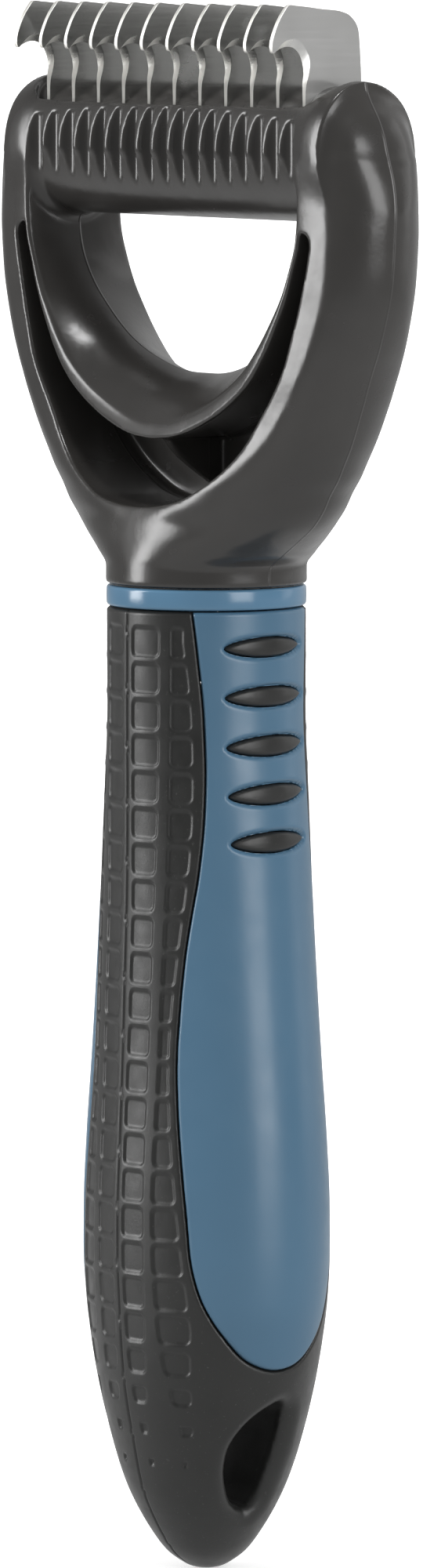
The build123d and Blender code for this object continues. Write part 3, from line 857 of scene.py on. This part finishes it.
TOP_ROUND = 0.3      # rounding at the top of every handle part

# panel outline (degrees from +X, height): front edge down, foot, back edge up
PANEL = [
    (-46.6, 118.6), (-45.3, 116.66), (-43.6, 113.8), (-42.1, 111.0), (-40.6, 108.2),
    (-39.6, 105.3), (-39.4, 102.5), (-39.6, 99.7), (-40.3, 96.85), (-41.3, 94.0),
    (-42.6, 91.2), (-44.4, 88.4), (-46.5, 85.5), (-49.0, 82.7), (-51.4, 79.8), (-53.4, 77.0),
    (-55.0, 74.1), (-56.3, 71.3), (-57.4, 68.4), (-58.4, 65.6), (-58.8, 62.8), (-58.7, 59.9),
    (-58.3, 57.1), (-57.6, 54.3), (-56.6, 51.5), (-55.4, 48.6), (-54.2, 45.8), (-53.3, 43.0),
    (-52.3, 40.1), (-50.2, 37.3), (-46.4, 34.45), (-40.4, 31.9), (-35.4, 30.35),
    (-31.1, 29.15), (-26.7, 28.1), (-22.3, 27.3), (-17.8, 26.75), (-13.1, 26.32),
    (-8.3, 26.05), (-3.3, 25.95), (1.9, 26.05), (7.5, 26.35), (13.3, 27.0), (19.3, 28.1),
    (25.5, 29.6), (30.5, 31.3), (36.0, 34.0), (41.5, 37.6), (46.5, 41.6), (51.0, 46.4),
    (54.5, 51.3), (56.9, 56.0), (57.6, 60.5), (57.3, 65.6), (56.0, 70.9), (53.0, 76.5),
    (49.0, 82.7), (44.4, 88.4), (41.3, 94.0), (39.6, 99.7), (39.4, 102.5), (39.6, 105.3),
    (40.6, 108.2), (42.1, 111.0), (43.6, 113.8), (45.3, 116.66), (46.6, 118.6),
]
MM_PER_DEGREE = 13.6 * math.pi / 180   # round the handle at a nominal 13.6 mm radius
PANEL_OUTLINE = np.vstack([
    spline([(angle * MM_PER_DEGREE, z) for angle, z in PANEL], steps=6),
    [(46.6 * MM_PER_DEGREE, 122.0), (-46.6 * MM_PER_DEGREE, 122.0)]])

# oval pads: centre angle, centre height, half length in degrees, half height,
# rise from front end to back end
PADS = [
    (2.7, 113.57, 29.9, 1.28, 0.14), (4.0, 107.6, 30.8, 1.3, 0.08),
    (4.0, 101.7, 30.8, 1.3, 0.27), (2.8, 95.88, 30.0, 1.3, 0.39), (1.5, 90.12, 28.4, 1.32, 0.29),
]
# gaps left between the parts
CORE_GAP, PAD_GAP, GRIP_GAP = 0.1, 0.14, 0.06

HOLE = spline([      # hang hole through the handle along X, (y, z)
    (1.2, 21.5), (-1.0, 21.0), (-3.5, 19.2), (-4.95, 16.4), (-4.95, 14.0), (-4.0, 11.0),
    (-2.2, 8.4), (-0.2, 7.6), (1.4, 8.9), (2.2, 12.0), (2.6, 15.7), (2.8, 18.6), (2.4, 20.7),
], closed=True)
HOLE_CENTRE_Z = 14.2
PANEL_ZONE_Z = 24.0  # the panels lie above this height, the hang hole below it

# sunken squares of the soft grip: row height, half height, then the near and far
# |x| of the inner column and of the outer column
SQUARES = np.array([
    (114.2, 1.78, 0.96, 4.94, 6.32, 7.6), (109.81, 1.78, 0.97, 4.95, 6.34, 8.1),
    (105.42, 1.78, 0.97, 4.94, 6.32, 8.4), (101.03, 1.78, 0.95, 4.92, 6.3, 8.62),
    (96.64, 1.78, 0.93, 4.87, 6.33, 8.78), (92.25, 1.78, 0.93, 4.78, 6.33, 8.85),
    (87.86, 1.78, 1.02, 4.65, 6.31, 8.72), (83.47, 1.78, 1.1, 4.52, 6.24, 8.42),
    (79.08, 1.78, 1.13, 4.46, 6.15, 8.03), (74.69, 1.78, 1.14, 4.45, 6.1, 7.68),
    (70.3, 1.78, 1.12, 4.46, 6.03, 7.35), (65.91, 1.78, 1.03, 4.42, 6.0, 7.18),
    (61.5, 1.78, 0.94, 4.35, 5.96, 7.25), (57.12, 1.78, 0.92, 4.3, 5.88, 7.6),
    (52.72, 1.8, 0.92, 4.29, 5.78, 8.05), (48.33, 1.82, 0.95, 4.35, 5.77, 8.65),
    (43.94, 1.84, 0.92, 4.4, 5.78, 9.15), (39.6, 1.82, 0.92, 4.4, 5.88, 9.6),
    (35.35, 1.8, 0.98, 4.35, 6.05, 10.05), (31.1, 1.7, 1.06, 4.2, 6.15, 10.25),
    (26.9, 1.42, 1.2, 4.05, 6.5, 9.75), (22.75, 1.0, 1.5, 3.65, 7.05, 9.3),
    (18.5, 0.58, 1.88, 2.85, 7.45, 8.65), (14.3, 0.34, 2.36, 2.96, 6.7, 7.1),
])
SQUARE_DEPTH = 0.24
SEAM_DEPTH, SEAM_WIDTH = 0.16, 0.16

PROFILE_Z = np.linspace(0, HANDLE_TOP, 1180)


def handle_profile(column):
    """(raw curve, smoothed table over PROFILE_Z) of one station column."""
    curve = monotone([row[0] for row in HANDLE_STATIONS],
                     [row[column] for row in HANDLE_STATIONS])
    raw = curve(PROFILE_Z)
    half = 28   # samples on each side of the smoothing window
    kernel = np.hanning(2 * half + 1)
    kernel /= kernel.sum()
    padded = np.r_[np.full(half, raw[0]), raw, np.full(half, raw[-1])]
    smoothed = np.convolve(padded, kernel, "valid")
    return curve, np.where(PROFILE_Z < 8, raw, smoothed)


PROFILES = [handle_profile(column) for column in (1, 2)]


def half_sizes(z):
    """Half width and half depth at a height; the tip is left unsmoothed."""
    low = np.asarray(z) < 6
    return [np.where(low, curve(z), np.interp(z, PROFILE_Z, table))
            for curve, table in PROFILES]


def handle_surface(theta, z):
    """Points and unit normals of the bare handle surface."""
    width, depth = half_sizes(z)
    above = np.clip(z + 0.15, 0, HANDLE_TOP)
    below = np.clip(z - 0.15, 0, HANDLE_TOP)
    span = above - below
    width_above, depth_above = half_sizes(above)
    width_below, depth_below = half_sizes(below)
    cos, sin = np.cos(theta), np.sin(theta)
    points = np.stack([width * cos, depth * sin, z], -1)
    around = np.stack([-width * sin, depth * cos, 0 * cos], -1)
    upward = np.stack([(width_above - width_below) / span * cos,
                       (depth_above - depth_below) / span * sin, 1 + 0 * cos], -1)
    normals = np.cross(around, upward)
    normals /= np.maximum(np.linalg.norm(normals, axis=-1), 1e-9)[..., None]
    return points, normals


def side_angle(theta):
    """Degrees from the nearer of +X and -X, positive towards +Y."""
    return np.degrees(np.arctan2(np.sin(theta), np.abs(np.cos(theta))))


def panel_field(theta, z):
    """Distance to the panel outline on the surface, positive inside the panel."""
    return -outline_distance(side_angle(theta) * MM_PER_DEGREE, z, PANEL_OUTLINE)


def pad_field(pad, theta, z):
    """Positive inside an oval pad."""
    centre, centre_z, half_length, half_height, rise = pad
    s = (side_angle(theta) - centre) / half_length
    off = z - centre_z - rise * 0.5 * s
    # leaf shape, the front end blunter than the back one
    leaf = np.clip(1 - s * s, 0, None) ** np.where(s < 0, 0.56, 0.6)
    slant = np.sqrt(1 + (1.9 * half_height * s / (half_length * MM_PER_DEGREE)) ** 2)
    inside = (half_height * leaf - np.abs(off)) / slant
    to_end = (1 - np.abs(s)) * half_length * MM_PER_DEGREE * 0.5
    beyond = (np.abs(s) - 1) * half_length * MM_PER_DEGREE
    return np.where(np.abs(s) < 1, np.minimum(inside, to_end + 0.3), -np.hypot(off, beyond))


def hole_field(theta, z):
    """Positive outside the hang hole, measured as seen along X."""
    return outline_distance(half_sizes(z)[1] * np.sin(theta), z, HOLE)


def squares_depth(theta, z):
    """0 to 1: how deep the soft grip's sunken squares are."""
    x = np.abs(half_sizes(z)[0] * np.cos(theta))
    row_z = SQUARES[:, 0]
    row = np.argmin(np.abs(z[..., None] - row_z), axis=-1)
    centre_z, half_height = row_z[row], SQUARES[row, 1]
    out = np.zeros_like(x)
    inner_z = np.clip(z, centre_z - half_height, centre_z + half_height)
    for column in (2, 4):
        near = np.interp(-inner_z, -row_z, SQUARES[:, column])
        far = np.interp(-inner_z, -row_z, SQUARES[:, column + 1])
        half_width, centre = (far - near) / 2, (far + near) / 2
        corner = np.minimum(0.7, np.minimum(half_width, half_height) * 0.6)
        distance = rounded_box(np.abs(x - centre) - (half_width - corner),
                               np.abs(z - centre_z) - (half_height - corner), corner)
        s = np.clip(0.5 - distance / 0.34, 0, 1)
        out = np.maximum(out, s * s * (3 - 2 * s))
    return out


def edge_drop(distance, radius):
    """Quarter-round fall, from 0 at `radius` off the edge to 1 at the edge."""
    t = np.clip(1 - distance / radius, 0, 1)
    return 1 - np.sqrt(np.clip(1 - t * t, 0, 1))


def top_drop(z):
    return TOP_ROUND * edge_drop(HANDLE_TOP - z, TOP_ROUND)


def lift_grip(theta, z):
    """How far the grip's skin stands off the bare surface."""
    width, depth = half_sizes(z)
    lift = -SQUARE_DEPTH * squares_depth(theta, z)
    # mould seam down the front and back, with small sideways jogs
    jog = 0.12 * np.sign(np.sin(z * 0.9)) * (np.abs(np.sin(z * 0.45)) > 0.96)
    off_seam = (width * np.cos(theta) - jog) / SEAM_WIDTH
    lift = lift - SEAM_DEPTH * np.exp(-off_seam ** 2) * np.clip(z / 2.0, 0, 1)
    # edge against the panel turns down; 9 mm stands for far from any panel
    off_panel = np.where(z > PANEL_ZONE_Z, -panel_field(theta, z), 9.0)
    lift = lift - 0.35 * edge_drop(off_panel, 0.35)
    # mouth of the hang hole, flared more towards the back
    back = np.clip((depth * np.sin(theta) + 1.2) / 3.5, -1, 1)
    lift = lift - (1.55 + 0.3 * back) * edge_drop(hole_field(theta, z), 1.75 + 0.45 * back)
    return lift - top_drop(z)


def lift_core(theta, z):
    inside = np.minimum.reduce([panel_field(theta, z)]
                               + [-pad_field(pad, theta, z) for pad in PADS])
    return 0.02 - 0.45 * edge_drop(inside - 0.12, 0.5) - top_drop(z)


def pad_lift(pad):
    """Lift function of one pad: sunk a little, slightly domed."""
    def lift(theta, z):
        inside = pad_field(pad, theta, z) - PAD_GAP
        return -0.12 - 0.4 * edge_drop(inside, 0.45) + 0.1 * np.clip(inside / 1.1, 0, 1)
    return lift


GRID_THETA, GRID_Z = np.meshgrid(
    np.linspace(-math.pi, math.pi, COLUMNS, endpoint=False),
    np.r_[TIP_ROWS, np.arange(1.8, HANDLE_TOP - ROW_STEP / 2, ROW_STEP), HANDLE_TOP],
    indexing="ij")


def clip_grid(field):
    """Keep the part of the handle grid where field > 0, cut exactly on the line.

    Returns theta and z of the vertices, and the faces.
    """
    columns, rows = field.shape
    keep = field > 0
    vertex = np.full(field.shape, -1, np.int64)
    vertex[keep] = np.arange(keep.sum())
    thetas = list(GRID_THETA[keep])
    heights = list(GRID_Z[keep])
    i, j = np.meshgrid(np.arange(columns), np.arange(rows - 1), indexing="ij")
    i, j = i.ravel(), j.ravel()
    i_next = (i + 1) % columns
    corners = np.stack([i * rows + j, i_next * rows + j, i_next * rows + j + 1,
                        i * rows + j + 1], 1)
    kept = keep.ravel()[corners]
    whole = kept.all(1)
    partial = kept.any(1) & ~whole
    vertex = vertex.ravel()
    faces = [tuple(face) for face in vertex[corners[whole]].tolist()]
    value, theta, z = field.ravel(), GRID_THETA.ravel(), GRID_Z.ravel()
    made = {}
    for cell in corners[partial].tolist():
        face = []
        for a, b in zip(cell, cell[1:] + cell[:1]):
            if value[a] > 0:
                face.append(int(vertex[a]))
            if (value[a] > 0) != (value[b] > 0):
                key = (min(a, b), max(a, b))
                if key not in made:
                    t = min(max(value[a] / (value[a] - value[b]), 0.02), 0.98)
                    start, end = theta[a], theta[b]
                    # step across the seam of the angle
                    if end - start > math.pi:
                        end -= 2 * math.pi
                    if start - end > math.pi:
                        end += 2 * math.pi
                    made[key] = len(thetas)
                    thetas.append(start + t * (end - start))
                    heights.append(z[a] + t * (z[b] - z[a]))
                face.append(made[key])
        if len(face) >= 3:
            faces.append(tuple(face))
    return np.array(thetas), np.array(heights), faces


def boundary(faces):
    """Directed edges that belong to one face only."""
    edges = {}
    for face in faces:
        for a, b in zip(face, face[1:] + face[:1]):
            if (b, a) in edges:
                del edges[(b, a)]
            else:
                edges[(a, b)] = True
    return list(edges)


def edge_loops(edges):
    """Directed edges chained into vertex loops."""
    following = dict(edges)
    loops = []
    while following:
        vertex = next(iter(following))
        loop = [vertex]
        while vertex in following:
            vertex = following.pop(vertex)
            if vertex == loop[0]:
                break
            loop.append(vertex)
        loops.append(loop)
    return loops


def inner_faces(faces, count):
    """The same faces on the inner skin, whose vertices follow the outer `count`."""
    return [tuple(v + count for v in reversed(face)) for face in faces]


def rim_walls(edges, count):
    return [(b, a, a + count, b + count) for a, b in edges]


def handle_shell(name, field, lift, depth):
    """Closed thin shell over the part of the handle surface where field > 0."""
    theta, z, faces = clip_grid(field)
    points, normals = handle_surface(theta, z)
    outer = points + normals * lift(theta, z)[:, None]
    inner = points - normals * depth
    count = len(theta)
    faces = faces + inner_faces(faces, count) + rim_walls(boundary(faces), count)
    ob = new_mesh(name, np.vstack([outer, inner]), faces)
    sharpen(ob, angle=0.9)
    return ob


def build_core(panel, pads):
    """Hard side panels, both sides in one object."""
    field = np.minimum.reduce([panel - CORE_GAP] + [-pad for pad in pads])
    core = handle_shell("core_panels", field, lift_core, depth=1.7)
    place(core, CORE_PLASTIC, "handle_core", "core_plastic")


def build_pads(pads):
    for side, label in ((1, "right"), (-1, "left")):   # +X is right
        for i, pad in enumerate(pads):
            field = np.where(np.cos(GRID_THETA) * side > 0, pad - PAD_GAP, -1.0)
            ob = handle_shell(f"thumb_pad_{label}_{i + 1}", field, pad_lift(PADS[i]), depth=1.6)
            place(ob, RUBBER, f"grip_pad_{label}_{i + 1}", "soft_rubber")


# ----------------------------------------------------------------------------
# soft grip: outer skin, with an inner skin above the solid end
# ----------------------------------------------------------------------------
GRIP_DEPTH = 1.6
TIP_Z = 3.0          # open edges below this belong to the tip
SOLID_Z = 23.0       # the grip is solid below this, and the hang hole lies below it
TUNNEL_STEPS = 14    # rings from each mouth to the middle


def tunnel_rings(mouth, steps, verts):
    """Rings of vertices from a mouth of the hang hole inwards; adds to verts."""
    points = np.array([verts[v] for v in mouth])
    rings = [mouth]
    centre_y, centre_z = points[:, 1].mean(), points[:, 2].mean()
    for step in range(1, steps + 1):
        t = step / TUNNEL_STEPS
        narrow = 1 - 0.10 * math.sin(t * math.pi / 2)   # a little tighter in the middle
        ring = np.stack([points[:, 0] * (1 - t),
                         centre_y + (points[:, 1] - centre_y) * narrow,
                         centre_z + (points[:, 2] - centre_z) * narrow], 1)
        rings.append(list(range(len(verts), len(verts) + len(ring))))
        verts.extend(ring)
    return rings


def bridge(rings):
    """Quads between successive rings."""
    faces = []
    for near, far in zip(rings, rings[1:]):
        for i in range(len(near)):
            j = (i + 1) % len(near)
            faces.append((near[j], near[i], far[i], far[j]))
    return faces


def stitch(first, second, verts):
    """Triangles between two rings of unlike count, walking both by angle round X."""
    def by_angle(ring):
        points = np.array([verts[v] for v in ring])
        angles = np.arctan2(points[:, 2] - HOLE_CENTRE_Z, points[:, 1])
        order = np.argsort(angles)
        return [ring[k] for k in order], angles[order]

    def unrolled(angles, k):
        return angles[k % len(angles)] + (2 * math.pi if k >= len(angles) else 0)

    first, first_angles = by_angle(first)
    second, second_angles = by_angle(second)
    count_1, count_2 = len(first), len(second)
    faces = []
    i = j = 0
    while i < count_1 or j < count_2:
        first_leads = unrolled(first_angles, i + 1) <= unrolled(second_angles, j + 1)
        if j >= count_2 or (i < count_1 and first_leads):
            faces.append((first[i % count_1], first[(i + 1) % count_1], second[j % count_2]))
            i += 1
        else:
            faces.append((first[i % count_1], second[(j + 1) % count_2], second[j % count_2]))
            j += 1
    return faces


def build_grip(panel):
    field = np.where(GRID_Z > PANEL_ZONE_Z, -panel - GRIP_GAP, hole_field(GRID_THETA, GRID_Z))
    theta, z, skin = clip_grid(field)
    points, normals = handle_surface(theta, z)
    outer = points + normals * lift_grip(theta, z)[:, None]
    inner = points - normals * GRIP_DEPTH
    count = len(theta)
    upper = [face for face in skin if min(z[list(face)]) > SOLID_Z]
    edges = boundary(skin)
    tip_edges = [e for e in edges if z[e[0]] <= TIP_Z]
    hole_edges = [e for e in edges if TIP_Z < z[e[0]] < SOLID_Z]
    rim_edges = [e for e in edges if z[e[0]] >= SOLID_Z]
    faces = skin + inner_faces(upper, count) + rim_walls(rim_edges, count)
    # cap the foot of the inner skin, then close the tip
    outer_edges = set(edges)
    foot_edges = [e for e in boundary(upper) if e not in outer_edges]
    faces += [tuple(v + count for v in loop) for loop in edge_loops(foot_edges)]
    faces += [tuple(loop[::-1]) for loop in edge_loops(tip_edges)]
    # tunnel: the +X half carries the middle ring, and the -X half is stitched to it
    mouths = {1 if outer[loop[0]][0] > 0 else -1: loop for loop in edge_loops(hole_edges)}
    verts = list(outer) + list(inner)
    right = tunnel_rings(mouths[1], TUNNEL_STEPS, verts)
    left = tunnel_rings(mouths[-1], TUNNEL_STEPS - 1, verts)
    faces += bridge(right) + bridge(left) + stitch(left[-1], right[-1], verts)

    grip = new_mesh("grip_skin", verts, faces)
    bm = bmesh.new()
    bm.from_mesh(grip.data)
    # the inner skin has no faces in the solid end
    loose = [v for v in bm.verts if not v.link_faces]
    bmesh.ops.delete(bm, geom=loose, context="VERTS")
    bmesh.ops.recalc_face_normals(bm, faces=bm.faces)
    bm.to_mesh(grip.data)
    bm.free()
    sharpen(grip, angle=1.0)
    place(grip, RUBBER, "soft_grip", "soft_rubber")


# ----------------------------------------------------------------------------
# stage, camera, lights and world, in metres
# ----------------------------------------------------------------------------
CAMERA_AZIMUTH, CAMERA_ELEVATION = 52.5, 5.12   # degrees
CAMERA_DISTANCE = 1.25
AIM_HEIGHT, AIM_RIGHT = 0.0962, 0.00062         # point the camera looks at
LIGHT_AIM = (0, 0, 0.1)

SWEEP_HALF_WIDTH = 2.5
SWEEP_NEAR = -1.2    # edge towards the camera
SWEEP_BEND = 0.35    # where the floor starts to curve up
SWEEP_RADIUS = 0.5
SWEEP_HEIGHT = 3.0


def direction(azimuth, elevation):
    """Unit vector at an azimuth in degrees, from the front (-Y) towards +X."""
    around, up = math.radians(azimuth), math.radians(elevation)
    return Vector((math.sin(around) * math.cos(up), -math.cos(around) * math.cos(up),
                   math.sin(up)))


def floor_material():
    """White to the camera, with set strengths for reflections and bounced light."""
    m = Material("floor_pale")
    color = m.mottle(3.0, colors=((0.86, 0.86, 0.86), (0.88, 0.88, 0.88)))
    m.set(Base_Color=color, Roughness=0.9)
    geometry = m.add("ShaderNodeNewGeometry")
    rays = m.add("ShaderNodeLightPath")
    # reflections: brighter far towards +Y, and close to the tool
    along_y = m.add("ShaderNodeVectorMath", operation="DOT_PRODUCT")
    m.link(geometry.outputs["Position"], along_y.inputs[0])
    along_y.inputs[1].default_value = (0.0, 1.0, 0.0)
    away = m.add("ShaderNodeVectorMath", operation="LENGTH")
    m.link(geometry.outputs["Position"], away.inputs[0])
    strength = m.math("MAXIMUM",
                      m.remap(along_y.outputs["Value"], (0.3, 0.75), (0.3, 0.7)),
                      m.remap(away.outputs["Value"], (0.25, 0.8), (0.8, 0.3)))
    lit = m.add("ShaderNodeAddShader")
    m.link(m.bsdf.outputs[0], lit.inputs[0])
    m.link(m.emission(strength=0.55), lit.inputs[1])
    look = m.mix_shader(rays.outputs["Is Glossy Ray"], lit.outputs[0], m.emission(strength))
    look = m.mix_shader(rays.outputs["Is Diffuse Ray"], look, m.emission(strength=0.38))
    # seen from behind or below, the sweep doesn't hide the tool
    unseen = m.math("MULTIPLY", geometry.outputs["Backfacing"], rays.outputs["Is Camera Ray"])
    clear = m.add("ShaderNodeBsdfTransparent")
    look = m.mix_shader(unseen, look, clear.outputs[0])
    m.link(look, m.tree.nodes["Material Output"].inputs["Surface"])
    return m.material


def build_floor():
    """Floor that curves up into a wall behind the tool, square to the camera."""
    curve = [(SWEEP_BEND + SWEEP_RADIUS * math.sin(t), SWEEP_RADIUS - SWEEP_RADIUS * math.cos(t))
             for t in np.linspace(0.15, math.pi / 2, 10)]
    profile = ([(SWEEP_NEAR, 0.0), (SWEEP_BEND, 0.0)] + curve
               + [(SWEEP_BEND + SWEEP_RADIUS, SWEEP_HEIGHT)])
    turn = math.radians(CAMERA_AZIMUTH)
    cos, sin = math.cos(turn), math.sin(turn)
    verts = [(cos * side - sin * away, sin * side + cos * away, height)
             for side in (-SWEEP_HALF_WIDTH, SWEEP_HALF_WIDTH) for away, height in profile]
    count = len(profile)
    faces = [(count + i, count + i + 1, i + 1, i) for i in range(count - 1)]
    floor = new_mesh("floor_sweep", verts, faces, unit=1.0)
    give(floor, floor_material())


def add_camera():
    turn = math.radians(CAMERA_AZIMUTH)
    to_right = Vector((math.cos(turn), math.sin(turn), 0.0))
    to_camera = direction(CAMERA_AZIMUTH, CAMERA_ELEVATION)
    data = bpy.data.cameras.new("view_camera")
    camera = link_object("view_camera", data)
    target = Vector((0, 0, AIM_HEIGHT)) + to_right * AIM_RIGHT
    camera.location = target + to_camera * CAMERA_DISTANCE
    camera.rotation_mode = "QUATERNION"
    camera.rotation_quaternion = (-to_camera).to_track_quat("-Z", "Y")
    data.sensor_width = 36.0
    data.lens = 236.25
    data.clip_start, data.clip_end = 0.05, 20.0
    bpy.context.scene.camera = camera


def add_area_light(name, azimuth, elevation, distance, width, height, power):
    """Soft box aimed at the tool."""
    data = bpy.data.lights.new(name, "AREA")
    data.shape = "RECTANGLE"
    data.size = width
    data.size_y = height
    data.energy = power
    light = link_object(name, data)
    outward = direction(azimuth, elevation)
    light.location = Vector(LIGHT_AIM) + outward * distance
    light.rotation_mode = "QUATERNION"
    light.rotation_quaternion = outward.to_track_quat("Z", "Y")


def add_lights():
    """Left and right are as the camera sees them."""
    add_area_light("strip_left", azimuth=-36, elevation=4, distance=1.3,
                   width=0.4, height=1.5, power=21.0)
    add_area_light("box_right", azimuth=94, elevation=8, distance=1.3,
                   width=0.62, height=1.5, power=15.0)
    add_area_light("overhead", azimuth=60, elevation=80, distance=1.2,
                   width=0.2, height=0.2, power=4.2)
    add_area_light("rear_right", azimuth=160, elevation=12, distance=1.4,
                   width=0.5, height=1.4, power=1.8)


def add_world():
    """White surroundings, with their own strength for reflections and for the camera."""
    world = bpy.data.worlds.new("studio")
    world.use_nodes = True
    w = Nodes(world.node_tree)

    def white(node, strength):
        node.inputs[0].default_value = (1, 1, 1, 1)
        w.feed(node.inputs[1], strength)
        return node.outputs[0]

    light = white(w.tree.nodes["Background"], 0.6)
    # reflections are brightest straight behind the tool
    behind = w.add("ShaderNodeVectorMath", operation="DOT_PRODUCT")
    behind.inputs[1].default_value = (-0.53, 0.848, 0.0)
    w.link(w.coord.outputs["Generated"], behind.inputs[0])
    strength = w.remap(behind.outputs["Value"], (0.8, 0.97), (0.3, 1.0))
    mirrored_light = white(w.add("ShaderNodeBackground"), strength)
    backdrop = white(w.add("ShaderNodeBackground"), 0.95)
    rays = w.add("ShaderNodeLightPath")
    look = w.mix_shader(rays.outputs["Is Glossy Ray"], light, mirrored_light)
    look = w.mix_shader(rays.outputs["Is Camera Ray"], look, backdrop)
    w.link(look, w.tree.nodes["World Output"].inputs["Surface"])
    bpy.context.scene.world = world


build_head()
build_blades()
give(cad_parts["blade_rod"], ROD_STEEL)
build_ring()

panel_values = panel_field(GRID_THETA, GRID_Z)
pad_values = [pad_field(pad, GRID_THETA, GRID_Z) for pad in PADS]
build_core(panel_values, pad_values)
build_pads(pad_values)
build_grip(panel_values)

build_floor()
add_camera()
add_lights()
add_world()
bpy.context.scene.view_settings.view_transform = "Standard"
